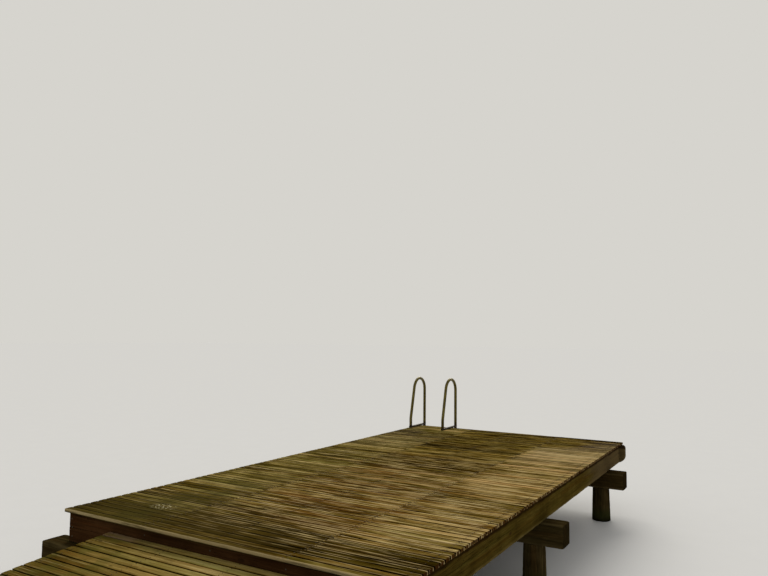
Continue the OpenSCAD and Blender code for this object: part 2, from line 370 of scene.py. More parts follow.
def add_bar(piece, rng, place, stations, loop, pith, arris, rough, split, bow=0.0, crowned=0.0,
            scale=1.0, crown=None, soffit=None, tone=None, shaded_sides=False, ends=(1.0, 1.0)):
    """Adds one length of timber: its skin with eased ends, splits, wear and uneven faces.

    split gives how deep each split runs, how many openings it has and how far they reach.
    scale is the section's size at each station, and crown and soffit how far its top and
    underside have drawn in there. A bar with shaded sides is worn only at its top corners, and
    its sides and underside are painted dark as shade. ends are how much of its two end faces
    is end grain.
    """
    u, length, shape = stations[:, None], stations[-1], (len(stations), len(loop))
    v, w, out_v, out_w, arris_share, number, side = loop.T
    width, height = np.ptp(v), np.ptp(w)
    v, w = v * scale, w * scale
    if soffit:
        drop = crown(u) if crown else 0.0
        w = w * (1 - (soffit(u) + drop) / height) - drop

    push = rng.normal(0, rough, shape) - rough
    chip = np.clip(wander(rng, u, CHIP_WAVE), CHIP_FROM, None) - CHIP_FROM
    push -= arris_share * chip * arris * 0.6
    ease = np.clip(1 - np.minimum(u, length - u) / (arris * 1.5), 0, 1) ** 2
    push -= np.where(u < length / 2, *ends) * ease * arris * 0.7
    worn_share = np.clip(WORN + 0.5 * wander(rng, u, WEAR_WAVE), 0, 1)
    # Positive values are real wear; negative values are painted shade, down the sides and
    # underside
    if shaded_sides:
        wear = np.where(out_w > 0.9, 0.8 * (arris_share > 0), -0.9) * worn_share
        wear = np.where(out_w < 0.1, -1.0, wear)
    else:
        wear = arris_share * worn_share
    slide = 0.0
    for j in range(int(number.max()) + 1):
        depth = split_depth(rng, u, length, *split)
        mine = number == j
        bottom = mine & (side == 0)
        stray = SPLIT_STRAY * wander(rng, u, SPLIT_WAVE)
        slide = slide + mine * (stray + side * depth * SPLIT_OPENS)
        push -= bottom * depth
        # Painted shade in the bottom of each split
        wear = np.where(bottom, -np.clip(depth / 0.002, 0, 1), wear)
    wear[0] *= 1 - ends[0]
    wear[-1] *= 1 - ends[1]
    v, w = v + out_v * push - out_w * slide, w + out_w * push + out_v * slide
    if crowned:
        w = w - (w > -height / 2) * crowned * (2 * v / width) ** 2
    local = np.stack(np.broadcast_arrays(u, v + bow * wander(rng, u, BOW_WAVE), w), -1)
    end = np.zeros(shape)
    end[0], end[-1] = ends
    offset = np.array([rng.uniform(0, 40), -pith[0], -pith[1]])
    world, faces = lofted(place(local))
    piece.add(
        world, faces, grain=local + offset, across=v, seed=rng.uniform(), wear=wear, end=end,
        tone=tone(world) if tone else 0.0,
    )


# Boards


def board_pith(rng, width):
    """Where the tree's middle lay from a board's own: mostly below it, out of the wood."""
    side = -1 if rng.uniform() < 0.7 else 1
    return rng.uniform(-0.4, 0.4) * width, side * rng.uniform(0.03, 0.11)


def spans(node, place):
    """The lowest and highest v of each board in a node."""
    across = np.unique(np.round(place.local(node_points(node))[:, 1], 4))
    return across.reshape(-1, 4)[:, [0, 3]]


def narrower(boards):
    """A stretch of deck laid again with boards as narrow as the photo shows on the gangway."""
    lo, hi = boards.min(), boards.max()
    count = round((hi - lo + GANGWAY_GAP) / (BOARD_W + GANGWAY_GAP))
    pitch = (hi - lo + GANGWAY_GAP) / count
    starts = lo + pitch * np.arange(count)
    return np.stack([starts, starts + pitch - GANGWAY_GAP], axis=1)


def row_tone(row, points):
    return np.interp(points[:, 1] - NEAR_Y, *zip(*ROW_TONES[row]))


def deck_tone(row, seam_x):
    """How much lighter or darker a row of platform boards is at each point.

    Close to a joint between rows it leans towards the next row's tone, less so far out.
    """
    def tone(points):
        total = row_tone(row, points)
        most = np.interp(points[:, 1] - NEAR_Y, SEAM_REACH, SEAM_SHARES)
        for seam, sides in zip(seam_x, zip(ROWS, ROWS[1:])):
            if row in sides:
                other = row_tone(sides[1 - sides.index(row)], points)
                near = most * np.interp(np.abs(points[:, 0] - seam), (0, SEAM_BLUR), (1, 0))
                total = total + near * (other - total)
        return total
    return tone


def gangway_tone_and_light(place):
    """Painted light towards the platform, where the step casts its shadow, and paler away from
    the left edge.
    """
    def tone(points):
        down = -place.local(points)[:, 1]
        right = points[:, 0] - GANGWAY_X
        # Painted light near the platform, where the step's cast shadow falls
        near = np.interp(down, (0, 0.15, 0.35, 1.0, 3.0), (0.9, 0.8, 0.3, 0.1, 0))
        inward = np.interp(right, (0, 0.15, 0.5, 2.0), (0, 0.2, 1.0, 1.2))
        return near * inward + np.interp(right, (0, 0.3, 0.8, 2.0), (-1.2, -0.8, -0.1, 0.3))
    return tone


def add_boards(piece, rng, node, place, boards, beams, shrunk, tone, seams=(None, None),
               first=0):
    """Adds a node's boards, each its own length of timber, and returns their screws.

    shrunk is the range of widths that the boards have dried to. A seam gives, for each
    board of its row, where it meets the next row's.
    """
    screws = []
    lo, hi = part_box(node)
    for number, (v0, v1) in enumerate(boards, first):
        width = v1 - v0
        trims = rng.uniform(0, END_TRIM, 2)
        left, right = lo.x + trims[0], hi.x - trims[1]
        if seams[0] is not None:
            left = seams[0][number] + SEAM_GAP / 2
        if seams[1] is not None:
            right = seams[1][number] - SEAM_GAP / 2
        lift = rng.uniform(-LAID_LOW, 0)
        middle = (v0 + v1) / 2 + rng.uniform(-OFF_LINE, OFF_LINE)
        own = Place(place(np.array([left, middle, lift])), place.axes[0], place.axes[1])
        loop = sawn_loop(
            width * rng.uniform(*shrunk), BOARD_T + lift, BOARD_ARRIS, BOARD_OUTLINE_STEP,
            [(2, rng.uniform(0.2, 0.8))], WORN_RIM,
        )
        add_bar(
            piece, rng, own, stations_along(right - left, BOARD_ARRIS, BOARD_SECTION_STEP),
            loop, board_pith(rng, width), BOARD_ARRIS, rough=0.00025,
            split=(0.006, rng.integers(1, 4), 0.16), bow=BOARD_BOW,
            crowned=rng.uniform(*BOARD_CROWN), tone=tone, shaded_sides=True,
            ends=[1.0 if seam is None else SEAM_GRAIN for seam in seams],
        )
        for beam in beams:
            for side in (-1, 1):
                at = np.array([beam - left, side * SCREW_ROW * width / BOARD_W, SCREW_LIFT])
                at[:2] += rng.uniform(-SCREW_OFF, SCREW_OFF, 2)
                screws.append((own(at), own.axes[2], rng.uniform(0, math.pi)))
    return screws


def platform_boards(material):
    """The platform's three rows of boards; returns where their screws are."""
    place = Place((0, 0, DECK_Z))
    joints = {
        "left": ("side_beam_left", "inner_beam_1"),
        "middle": ("inner_beam_1", "inner_beam_2", "inner_beam_3"),
        "right": ("inner_beam_3", "side_beam_right"),
    }
    screws = []
    seam_rng = seeded(50)
    seam_x = [node_middle(beam) for beam in ("inner_beam_1", "inner_beam_3")]
    seams = [None, None]
    for x in seam_x:
        seams.insert(-1, x + seam_rng.uniform(-SEAM_WANDER, SEAM_WANDER, MOST_BOARDS))
    for number, row in enumerate(ROWS):
        first = 0
        for half, seed in (("near", 4), ("far", 3)):
            node = f"deck_{row}_{half}"
            lo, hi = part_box(node)
            beams = [
                min(max(node_middle(b), lo.x + SCREW_END), hi.x - SCREW_END) for b in joints[row]
            ]
            boards = spans(node, place)
            piece = Piece()
            screws += add_boards(
                piece, seeded(10 * number + seed), node, place, boards, beams, DECK_SHRUNK,
                deck_tone(row, seam_x), seams[number:number + 2], first,
            )
            piece.build(f"boards_{row}_{half}", material, [node])
            first += len(boards)
    return screws


def gangway_place():
    """The gangway's plane: u across, v up its slope and w out of it, from its top edge."""
    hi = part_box("gangway_deck_1")[1]
    top_y = hi.y - BOARD_T * math.sin(SLOPE)
    top_z = hi.z + CAD_ARRIS * math.sin(SLOPE)
    return Place((0, top_y, top_z), (1, 0, 0), (0, math.cos(SLOPE), math.sin(SLOPE)))


def gangway_boards(material, place):
    """The gangway's two bays of boards; returns where their screws are."""
    beams = [node_middle(name) for name in GANGWAY_BEAMS]
    screws = []
    for number in (1, 2):
        node = f"gangway_deck_{number}"
        piece = Piece()
        screws += add_boards(
            piece, seeded(100 + number), node, place, narrower(spans(node, place)), beams,
            GANGWAY_SHRUNK, gangway_tone_and_light(place),
        )
        piece.build(f"gangway_boards_{number}", material, [node])
    return screws


# Timbers of the frame


def add_timber(node, material, *bar, kind="timber", slot="frame_timber", **finish):
    """A piece that is one length of timber, in place of a node."""
    piece = Piece()
    add_bar(piece, *bar, **finish)
    piece.build(f"{node}_{kind}", material, [node])


def beam_pith(rng, width, height):
    """Where the tree's middle lay in a beam: not far from the beam's own."""
    return rng.uniform(-0.3, 0.3) * width, -height * rng.uniform(0.3, 0.7)


def local_box(node, place):
    """A node's lowest and highest corner along a place's axes."""
    points = place.local(node_points(node))
    return points.min(0), points.max(0)


def timber(node, run, material, seed, arris=BEAM_ARRIS, sawn_ends=False):
    """A sawn timber in place of a node, lying along X or Y."""
    rng = seeded(seed)
    lo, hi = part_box(node)
    middle = (lo + hi) / 2
    if run == "X":
        place = Place((lo.x, middle.y, hi.z))
        length, width = hi.x - lo.x, hi.y - lo.y
    else:
        place = Place((middle.x, lo.y, hi.z), (0, 1, 0), (-1, 0, 0))
        length, width = hi.y - lo.y, hi.x - lo.x
    height = hi.z - lo.z
    splits = [(1, rng.uniform(0.3, 0.7)), (3, rng.uniform(0.3, 0.7)), (2, 0.5), (0, 0.4)]
    loop = sawn_loop(width, height, arris, OUTLINE_STEP, splits)
    stations = stations_along(length, arris, SECTION_STEP)
    crown = soffit = None
    if sawn_ends:
        crown, soffit = rounding(SAWN_TOP_R), rounding(SAWN_LOW_R)
        close = SAWN_LOW_R * (1 - np.cos(np.linspace(0, math.pi / 2, 16)))
        stations = np.unique(np.round(np.concatenate([stations, close, length - close]), 5))
    pith = beam_pith(rng, width, height)
    add_timber(
        node, material, rng, place, stations, loop, pith, arris, rough=0.0006,
        split=(0.012, rng.integers(2, 5), 0.55), crown=crown, soffit=soffit,
    )


def rounding(radius):
    """How far a rounded corner has drawn in at each station from either end."""
    def drawn_in(stations):
        from_end = np.minimum(stations, stations[-1] - stations)
        inside = np.clip(radius - from_end, 0, None)
        return radius - np.sqrt(radius**2 - inside**2)
    return drawn_in


def gangway_beam(node, place, material, seed):
    """A sloping beam, notched over the level caps and cut plumb at the platform."""
    rng = seeded(seed)
    lo, hi = local_box(node, place)
    width, length, height = hi - lo
    start = place(np.array([(lo[0] + hi[0]) / 2, lo[1], hi[2]]))
    own = Place(start, place.axes[1], (-1, 0, 0))
    seats = []
    for cap in ("shore_cap", "gangway_cap", "near_cap"):
        cap_lo, cap_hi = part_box(cap)
        seats.append(own.local(np.array([[0, cap_lo.y, cap_hi.z], [0, cap_hi.y, cap_hi.z]])))

    def soffit(stations):
        rise = np.zeros_like(stations)
        for (u0, _, w0), (u1, _, w1) in seats:
            level = np.interp(stations, (u0, u1), (w0, w1))
            rise = np.where((stations >= u0) & (stations <= u1), height + level, rise)
        return rise

    splits = [(1, 0.4), (3, 0.6), (2, 0.5)]
    loop = sawn_loop(width, height, BEAM_ARRIS * 0.8, OUTLINE_STEP, splits)
    edges = [corner[0] + side for seat in seats for corner in seat for side in (-1e-4, 1e-4)]
    edges = [e for e in edges if 0.02 < e < length - 0.02]
    stations = stations_along(length, BEAM_ARRIS, SECTION_STEP)
    stations = np.unique(np.concatenate([stations, edges]))
    pith = beam_pith(rng, width, height)
    add_timber(
        node, material, rng, own, stations, loop, pith, BEAM_ARRIS, rough=0.0005,
        split=(0.009, 3, 0.5), soffit=soffit,
    )


def gangway_header(node, place, material, seed):
    """The beam across the gangway's shore end, square to its slope."""
    lo, hi = local_box(node, place)
    length, width, height = hi - lo
    start = place(np.array([lo[0], (lo[1] + hi[1]) / 2, hi[2]]))
    own = Place(start, place.axes[0], place.axes[1])
    loop = sawn_loop(width, height, BEAM_ARRIS, OUTLINE_STEP, [(1, 0.5), (3, 0.4)])
    stations = stations_along(length, BEAM_ARRIS, SECTION_STEP)
    add_timber(
        node, material, seeded(seed), own, stations, loop, (0.01, -0.07), BEAM_ARRIS,
        rough=0.0006, split=(0.01, 3, 0.4),
    )


def log(node, material, seed):
    """A round pile or post in place of a node, tapered as the node is."""
    rng = seeded(seed)
    lo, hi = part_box(node)
    points = node_points(node)
    middle = (lo + hi) / 2
    reach = np.hypot(points[:, 0] - middle.x, points[:, 1] - middle.y)
    foot_r = reach[points[:, 2] < lo.z + 0.001].max()
    top_r = reach[points[:, 2] > hi.z - 0.001].max()
    length = hi.z - lo.z
    loop = round_loop(foot_r, np.sort(rng.uniform(0.3, 6.0, 3)))
    stations = stations_along(length, LOG_ARRIS, LOG_SECTION_STEP)
    scale = 1 + (top_r / foot_r - 1) * stations[:, None] / length - 0.006
    place = Place((middle.x, middle.y, lo.z), (0, 0, 1), (1, 0, 0))
    add_timber(
        node, material, rng, place, stations, loop, (0.004, -0.003), LOG_ARRIS, rough=0.0005,
        split=(0.016, 2, 0.30), scale=scale, kind="log", slot="pile_timber",
    )


# Ladder


def ring(at, tangent, radius):
    """Points of a circle round a tube's centre line, which bends only up and out."""
    turns = circle(RAIL_SIDES)[:, None]
    side = np.array([1.0, 0, 0])
    return at + radius * (np.cos(turns) * np.cross(side, tangent) + np.sin(turns) * side)


def arc_points(centre, radius, start, stop, parts):
    """Points and headings along an arc in the hoop's plane."""
    angles = np.radians(np.linspace(start, stop, parts + 1))
    turn = math.copysign(1, stop - start)
    return [
        (np.array([centre[0] + radius * math.cos(a), centre[1] + radius * math.sin(a)]),
         turn * np.array([-math.sin(a), math.cos(a)]))
        for a in angles
    ]


def rail_course(lo, hi):
    """The centre line of a rail, as points and headings in its plane, foot to outer end.

    Points are how far out from the deck's far edge and how far up from its top.
    """
    radius = (hi.x - lo.x) / 2
    inner_y = lo.y + radius - EDGE_Y
    outer_y = hi.y - radius - EDGE_Y
    hoop = np.array([outer_y - HOOP_R, hi.z - radius - HOOP_R - DECK_Z])
    knee = np.array([inner_y, KNEE_H])
    to_hoop = hoop - knee
    lean = math.degrees(math.atan2(to_hoop[0], to_hoop[1]))
    lean -= math.degrees(math.asin(HOOP_R / np.linalg.norm(to_hoop)))
    bend_z = KNEE_H - KNEE_R * math.tan(math.radians(lean) / 2)
    up, down = np.array([0.0, 1.0]), np.array([0.0, -1.0])
    course = [(np.array([inner_y, z]), up) for z in np.linspace(RAIL_START, bend_z, 5)[:-1]]
    course += arc_points((inner_y + KNEE_R, bend_z), KNEE_R, 180, 180 - lean, 8)
    bend = arc_points(hoop, HOOP_R, 180 - lean, 0, 40)
    last = course[-1][0]
    course += [(last + (bend[0][0] - last) * t, bend[0][1]) for t in np.linspace(0, 1, 14)[1:-1]]
    course += bend
    course += [(np.array([outer_y, z]), down) for z in np.linspace(hoop[1], -DECK_Z, 48)[1:]]
    return course


def ladder_rail(node, material):
    """One bent tube of the ladder, its outer leg open at the bottom."""
    lo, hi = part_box(node)
    radius = (hi.x - lo.x) / 2
    edge = np.array([node_middle(node), EDGE_Y, DECK_Z])
    foot = np.array([node_middle(node), hi.y - radius, lo.z])
    rings = [ring(edge + [0, *at], [0, *heading], radius) for at, heading in rail_course(lo, hi)]
    for rise in (0, RAIL_HOLLOW):
        rings.append(ring(foot + [0, 0, rise], [0, 0, -1.0], radius - RAIL_WALL))
    ladder_piece(node + "_tube", rings, material, node)


def ladder_piece(name, rings, material, node, sharp=35):
    piece = Piece()
    piece.add(*lofted(rings))
    piece.build(name, material, [node], sharp)


def ladder_foot(node, material, leg_y):
    """A flat bar on the deck, round at its inner end, that runs up to the outer leg."""
    lo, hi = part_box(node)
    half = (hi.x - lo.x) / 2
    turns = np.linspace(math.pi, 2 * math.pi, 15)
    outline = [(half * math.cos(t), half * (1 + math.sin(t))) for t in turns]
    outline = np.array([*outline, (half, leg_y - lo.y), (-half, leg_y - lo.y)])
    tangent = np.roll(outline, -1, axis=0) - np.roll(outline, 1, axis=0)
    out = np.stack([tangent[:, 1], -tangent[:, 0]], -1)
    out /= np.linalg.norm(out, axis=1)[:, None] + 1e-12
    place = Place((node_middle(node), lo.y, 0))
    levels = (lo.z, lo.z + FOOT_BEVEL, hi.z - FOOT_BEVEL, hi.z)
    rings = [
        place(np.column_stack([outline - out * inset, np.full(len(outline), z)]))
        for inset, z in zip((FOOT_BEVEL, 0, 0, FOOT_BEVEL), levels)
    ]
    ladder_piece(node + "_bar", rings, material, node, sharp=50)


def ladder_tread(node, material):
    """A flat oval tread with grip ribs on top, between the two outer legs."""
    lo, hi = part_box(node)
    half = (hi.z - lo.z - TREAD_RIB) / 2
    flat = hi.y - lo.y - 2 * half
    front = np.radians(np.linspace(-90, 90, 13))
    back = np.radians(np.linspace(90, 270, 13)[:-1])
    outline = [(flat / 2 + half * math.cos(a), half * math.sin(a)) for a in front]
    for i in reversed(range(TREAD_RIBS)):
        middle = (i - (TREAD_RIBS - 1) / 2) * flat / TREAD_RIBS
        rib = ((RIB_FOOT, 0), (RIB_TOP, TREAD_RIB), (-RIB_TOP, TREAD_RIB), (-RIB_FOOT, 0))
        outline += [(middle + dx, half + dz) for dx, dz in rib]
    outline += [(-flat / 2 + half * math.cos(a), half * math.sin(a)) for a in back]
    place = Place((lo.x, (lo.y + hi.y) / 2, lo.z + half))
    rings = [
        place(np.column_stack([np.full(len(outline), x), outline]))
        for x in np.linspace(0, hi.x - lo.x, 9)
    ]
    ladder_piece(node + "_step", rings, material, node, sharp=30)


def weld_bead(piece, rng, centre, radius):
    """A rippled bead of weld round an upright tube."""
    turns = circle(48)[:, None]
    bends = circle(8)
    size = WELD_BEAD * (1 + 0.22 * np.sin(turns * 15) + rng.uniform(-0.08, 0.08, turns.shape))
    reach = radius + size * np.cos(bends)
    points = np.stack([reach * np.cos(turns), reach * np.sin(turns), size * np.sin(bends)], -1)
    index = np.arange(reach.size).reshape(reach.shape)
    after = np.roll(index, -1, axis=0)
    corners = [index, after, np.roll(after, -1, axis=1), np.roll(index, -1, axis=1)]
    piece.add(centre + points.reshape(-1, 3), np.stack(corners, -1).reshape(-1, 4).tolist())


def ladder_welds(material):
    """The beads between the rails and their foot bars."""
    rng = seeded(300)
    piece = Piece()
    for side in ("left", "right"):
        rail = "ladder_rail_" + side
        lo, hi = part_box(rail)
        radius = (hi.x - lo.x) / 2
        bar_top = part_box("ladder_foot_" + side)[1].z
        for y in (lo.y + radius, hi.y - radius):
            weld_bead(piece, rng, np.array([node_middle(rail), y, bar_top]), radius)
    piece.build("ladder_welds", material, sharp=80)


# Fasteners


def stacked(turns, rings):
    """Points and faces of a head, from rings of reaches at these turns and their heights."""
    return lofted([
        np.column_stack([reach * np.cos(turns), reach * np.sin(turns), np.full(len(turns), z)])
        for reach, z in rings
    ])


def screw_head(radius):
    """A pan head with a cross-shaped recess, its rim at height 0."""
    sides = 16
    turns = circle(sides)
    even = np.ones(sides)
    star = np.tile((0.52, 0.22, 0.16, 0.22), sides // 4)
    return stacked(turns, (
        (radius * even, -0.0012), (radius * even, 0.0002), (radius * 0.8 * even, 0.0008),
        (radius * star, 0.0010), (radius * (star * 0.8), -0.0006),
    ))


def hex_bolt():
    """A coach screw's head on its washer, seated at height 0."""
    sides = 18
    turns = circle(sides)
    even = np.ones(sides)
    flats = 0.9 / np.cos((turns + math.pi / 6) % (math.pi / 3) - math.pi / 6)
    return stacked(turns, (
        (WASHER * even, -0.001), (WASHER * even, 0.0022), (WASHER * 0.96 * even, 0.003),
        (BOLT_HEAD * flats, 0.003), (BOLT_HEAD * flats, 0.012),
        (BOLT_HEAD * 0.84 * even, 0.0145), (BOLT_HEAD * 0.3 * even, 0.0150),
    ))


def scatter(name, template, spots, material):
    """One mesh of many like fasteners: each spot is a place, an outward axis and a turn."""
    points, faces = template
    piece = Piece()
    for at, axis, turn in spots:
        axis = unit(axis)
        helper = np.array([1.0, 0, 0]) if abs(axis[0]) < 0.8 else np.array([0, 1.0, 0])
        side = unit(np.cross(helper, axis))
        side = math.cos(turn) * side + math.sin(turn) * np.cross(axis, side)
        piece.add(Place(at, side, np.cross(axis, side))(points), faces)
    piece.build(name, material, sharp=40)


def frame_bolts(material):
    """Coach screws through the far beam, and screws through the near one, into the beams."""
    rng = seeded(400)
    inner = [f"inner_beam_{i}" for i in (1, 2, 3)]
    kinds = (
        ("coach_screws", hex_bolt(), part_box("far_beam")[1].y, (0, 1, 0), (0.30, 0.72)),
        ("beam_screws", screw_head(BEAM_SCREW_R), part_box("near_beam")[0].y, (0, -1, 0),
         (0.2, 0.5, 0.8)),
    )
    for name, head, y, axis, shares in kinds:
        spots = []
        for beam in ("side_beam_left", *inner, "side_beam_right"):
            lo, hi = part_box(beam)
            for share in shares:
                off_z, off_x = rng.uniform(-BEAM_SCREW_OFF, BEAM_SCREW_OFF, 2)
                z = lo.z + share * (hi.z - lo.z) + off_z
                at = np.array([node_middle(beam) + off_x, y, z])
                spots.append((at, axis, rng.uniform(0, 1)))
        scatter(name, head, spots, material)


# Shader making


class Term:
    """One output of a node. Its sums with other terms and with numbers are Math nodes."""

    def __init__(self, nodes, socket):
        self.nodes, self.socket = nodes, socket

    def __add__(self, other):
        return self.nodes.calc("ADD", self, other)

    def __sub__(self, other):
        return self.nodes.calc("SUBTRACT", self, other)

    def __rsub__(self, other):
        return self.nodes.calc("SUBTRACT", other, self)

    def __mul__(self, other):
        return self.nodes.calc("MULTIPLY", self, other)

    def __pow__(self, other):
        return self.nodes.calc("POWER", self, other)

    def __abs__(self):
        return self.nodes.calc("ABSOLUTE", self)


class Nodes:
    """Short calls that add nodes to a tree."""

    def __init__(self, tree):
        self.tree = tree

    def put(self, socket, value):
        if isinstance(value, Term):
            self.tree.links.new(value.socket, socket)
        else:
            socket.default_value = value

    def node(self, kind, inputs, output=0, **settings):
        """Adds a node and returns one output of it, or each of a tuple of outputs."""
        made = self.tree.nodes.new("ShaderNode" + kind)
        for key, value in settings.items():
            setattr(made, key, value)
        for key, value in inputs.items():
            self.put(made.inputs[key], value)
        if isinstance(output, tuple):
            return [Term(self, made.outputs[key]) for key in output]
        return Term(self, made.outputs[output])

    def calc(self, operation, *values, **settings):
        return self.node("Math", dict(enumerate(values)), operation=operation, **settings)

    def most(self, first, second):
        return self.calc("MAXIMUM", first, second)


class Shader(Nodes):
    """One material's nodes, with the place that is shaded as its own x, y and z."""

    def __init__(self, name):
        self.material = bpy.data.materials.new(name)
        self.material.use_nodes = True
        super().__init__(self.material.node_tree)
        self.place = self.node("TexCoord", {}, "Object")
        self.x, self.y, self.z = self.split(self.place)

    def attribute(self, name, output="Fac"):
        return self.node("Attribute", {}, output, attribute_name=name)

    def split(self, vector):
        return self.node("SeparateXYZ", {0: vector}, (0, 1, 2))

    def scaled(self, vector, factors):
        return self.node("VectorMath", {0: vector, 1: factors}, operation="MULTIPLY")

    def noise(self, vector, scale, detail=2.0, rough=0.5):
        """Soft noise. Its scale is one number, or a number for each direction."""
        if isinstance(scale, tuple):
            vector, scale = self.scaled(vector, scale), 1.0
        inputs = {"Vector": vector, "Scale": scale, "Detail": detail, "Roughness": rough}
        return self.node("TexNoise", inputs, "Fac")

    def band(self, value, start, stop, low=0.0, high=1.0):
        """Runs smoothly from low to high as a value goes from start to stop."""
        limits = {"From Min": start, "From Max": stop, "To Min": low, "To Max": high}
        return self.node("MapRange", {"Value": value, **limits}, interpolation_type="SMOOTHSTEP")

    def patchy(self, scale, detail, *limits):
        """A band of soft noise."""
        return self.band(self.noise(self.place, scale, detail), *limits)

    def right(self, start, stop, low=0.0, high=1.0):
        """A band measured to the right from the platform's left edge."""
        return self.band(self.x, LEFT_X + start, LEFT_X + stop, low, high)

    def out(self, start, stop, low=0.0, high=1.0):
        """A band measured out from the platform's near edge."""
        return self.band(self.y, NEAR_Y + start, NEAR_Y + stop, low, high)

    def mix(self, share, first, second, blend="MIX"):
        inputs = {0: share, 6: first, 7: second}
        return self.node("Mix", inputs, 2, data_type="RGBA", blend_type=blend)

    def finish(self, colour, rough, height=None, depth=0.001, metal=0.0, specular=0.0):
        surface = self.tree.nodes["Principled BSDF"]
        names = ("Base Color", "Roughness", "Metallic", "Specular IOR Level")
        for name, value in zip(names, (colour, rough, metal, specular)):
            self.put(surface.inputs[name], value)
        if height is not None:
            relief = {"Height": height, "Distance": depth, "Strength": 1.0}
            self.put(surface.inputs["Normal"], self.node("Bump", relief, "Normal"))
        return self.material


class Wood(Shader):
    """Weathered softwood. Its colour starts from the grain, and the layers go over it."""

    def __init__(self, name, shades, streaks, blotches, boards):
        super().__init__(name)
        self.grain = self.attribute("grain", "Vector")
        self.across, self.seed, self.wear, self.end = (
            self.attribute(key) for key in ("across", "seed", "wear", "end"))
        self.darkest = shades[0]
        self.streak = self.noise(self.grain, (1.3, 38, 38), 3, 0.6)
        self.thin = self.noise(self.grain, (3.5, 150, 150))
        self.fibre = self.noise(self.grain, (9, 620, 620))
        self.blotch = self.noise(self.place, 1.9, 4, 0.6)
        self.knot, near_knot = self.knots()
        self.rings = self.growth_rings(near_knot)
        level = 0.5
        for share, value, middle in (
            (-0.10, self.rings, 0.4), (0.35, self.fibre, 0.5), (0.45, self.thin, 0.5),
            (streaks, self.streak, 0.5), (blotches, self.blotch, 0.5),
            (0.24, self.attribute("tone"), 0.0), (boards, self.seed, 0.5),
        ):
            level = (value - middle) * share + level
        self.colour = self.ramp(level, shades)

    def ramp(self, value, shades):
        """Runs evenly through the shades as a value goes from 0 to 1."""
        made = self.tree.nodes.new("ShaderNodeValToRGB")
        self.put(made.inputs[0], value)
        elements = made.color_ramp.elements
        elements[0].color, elements[1].color = srgb(*shades[0]), srgb(*shades[-1])
        for i, shade in enumerate(shades[1:-1], 1):
            elements.new(i / (len(shades) - 1)).color = srgb(*shade)
        return Term(self, made.outputs[0])

    def lay(self, share, shade, blend="MIX"):
        """Lays a share of a shade over the colour so far."""
        self.colour = self.mix(share, self.colour, srgb(*shade), blend)

    def lay_masks(self, masks):
        for mask, shade, blend in masks:
            self.lay(mask(self), shade, blend)

    def knots(self):
        """Knots, and how near to one a place is: cells that only some places fill."""
        cells = {"Vector": self.scaled(self.grain, (4.2, 10, 10)), "Scale": 1.0}
        colour, distance = self.node("TexVoronoi", cells, ("Color", "Distance"))
        kept = self.band(self.split(colour)[0], 0.62, 0.66)
        return self.band(distance, 0.16, 0.10) * kept, self.band(distance, 0.45, 0.12) * kept

    def growth_rings(self, near_knot):
        """The rings round the tree's middle, which bend round its knots."""
        warp = self.noise(self.grain, (1.1, 6, 6))
        _, self.ring_v, self.ring_w = self.split(self.grain)
        radius = self.calc("SQRT", self.ring_v ** 2.0 + self.ring_w ** 2.0)
        self.radius = radius + warp * 0.03 + near_knot * 0.012
        rings = self.calc("SINE", self.radius * (2 * math.pi / RING_WIDTH))
        return (rings * 0.5 + 0.5) ** 2.0

    def hues(self):
        """Boards, and streaks in them, that have gone redder or greener than the rest."""
        hue = self.calc("FRACT", self.seed * 37.0)
        vein = self.noise(self.grain, (0.9, 17, 17), 3, 0.6)
        turns = ((hue, (0.35, 0.0), (0.65, 1.0)), (vein, (0.46, 0.34), (0.54, 0.66)))
        for turn, low, high in turns:
            self.lay(self.band(turn, *high, 0.0, 0.8), (255, 238, 224), "MULTIPLY")
            self.lay(self.band(turn, *low, 0.0, 0.8), (238, 246, 234), "MULTIPLY")

    def bare_fibres(self, mask, shade):
        """Fibres dried pale in short streaks."""
        bare = self.band(self.noise(self.grain, (1.5, 42, 42), 4, 0.62), 0.54, 0.64)
        self.lay(bare * self.band(self.thin, 0.40, 0.55, 0.3) * mask(self), shade)

    def cracks(self, end_dark, end_shade):
        """Thin drying cracks along the fibre, knots, and end grain with its radial cracks."""
        off = abs(self.noise(self.grain, (2.4, 120, 120), 1) - 0.5)
        some = self.band(self.noise(self.grain, 2.7), 0.48, 0.62)
        self.crack = self.band(off, 0.012, 0.003) * some
        self.lay(self.crack * 0.75, self.darkest)
        self.lay(self.knot * 0.7, (46, 30, 17))
        self.lay(self.end * end_dark, end_shade)
        bearing = self.calc("ARCTAN2", self.ring_v, self.ring_w)
        fan = self.node("CombineXYZ", {0: bearing * 5.0, 1: self.radius * 9.0})
        check = self.band(abs(self.noise(fan, 1.0, 1) - 0.5), 0.020, 0.006)
        self.lay(check * self.band(self.end, 0.6, 1.0) * 0.85, (16, 12, 7))

    def edges(self, worn, gaps, ridges):
        """Paler worn edges, painted shade down the sides and in the splits, deeper colour beside
        the gaps, and pale ridges beside them.

        Beside a gap the wood's own colour deepens, so that it stays brown.
        """
        bare_edge = self.most(self.wear, 0.0) * self.band(self.streak, 0.36, 0.56)
        if gaps:
            ragged = (self.streak - 0.5) * 0.022 + abs(self.across)
            beside = self.band(ragged, HALF_BOARD - 0.0085, HALF_BOARD - 0.0045) * gaps(self)
            bare_edge = bare_edge * (1.0 - beside)
        if worn:
            self.lay(bare_edge, worn)
        # Painted shade: dark brown wherever the value is negative, on the sides, underside and
        # splits
        self.lay(self.most(self.wear * -1.0, 0.0) * 0.85, (24, 14, 2))
        if ridges:
            ridge = self.band(ragged, HALF_BOARD - 0.018, HALF_BOARD - 0.013)
            streaky = self.band(self.noise(self.grain, (3, 30, 30), 3), 0.45, 0.62)
            self.lay(ridge * streaky * ridges(self), worn)
        if gaps:
            self.colour = self.node("Gamma", {0: self.colour, 1: beside * 1.1 + 1.0})

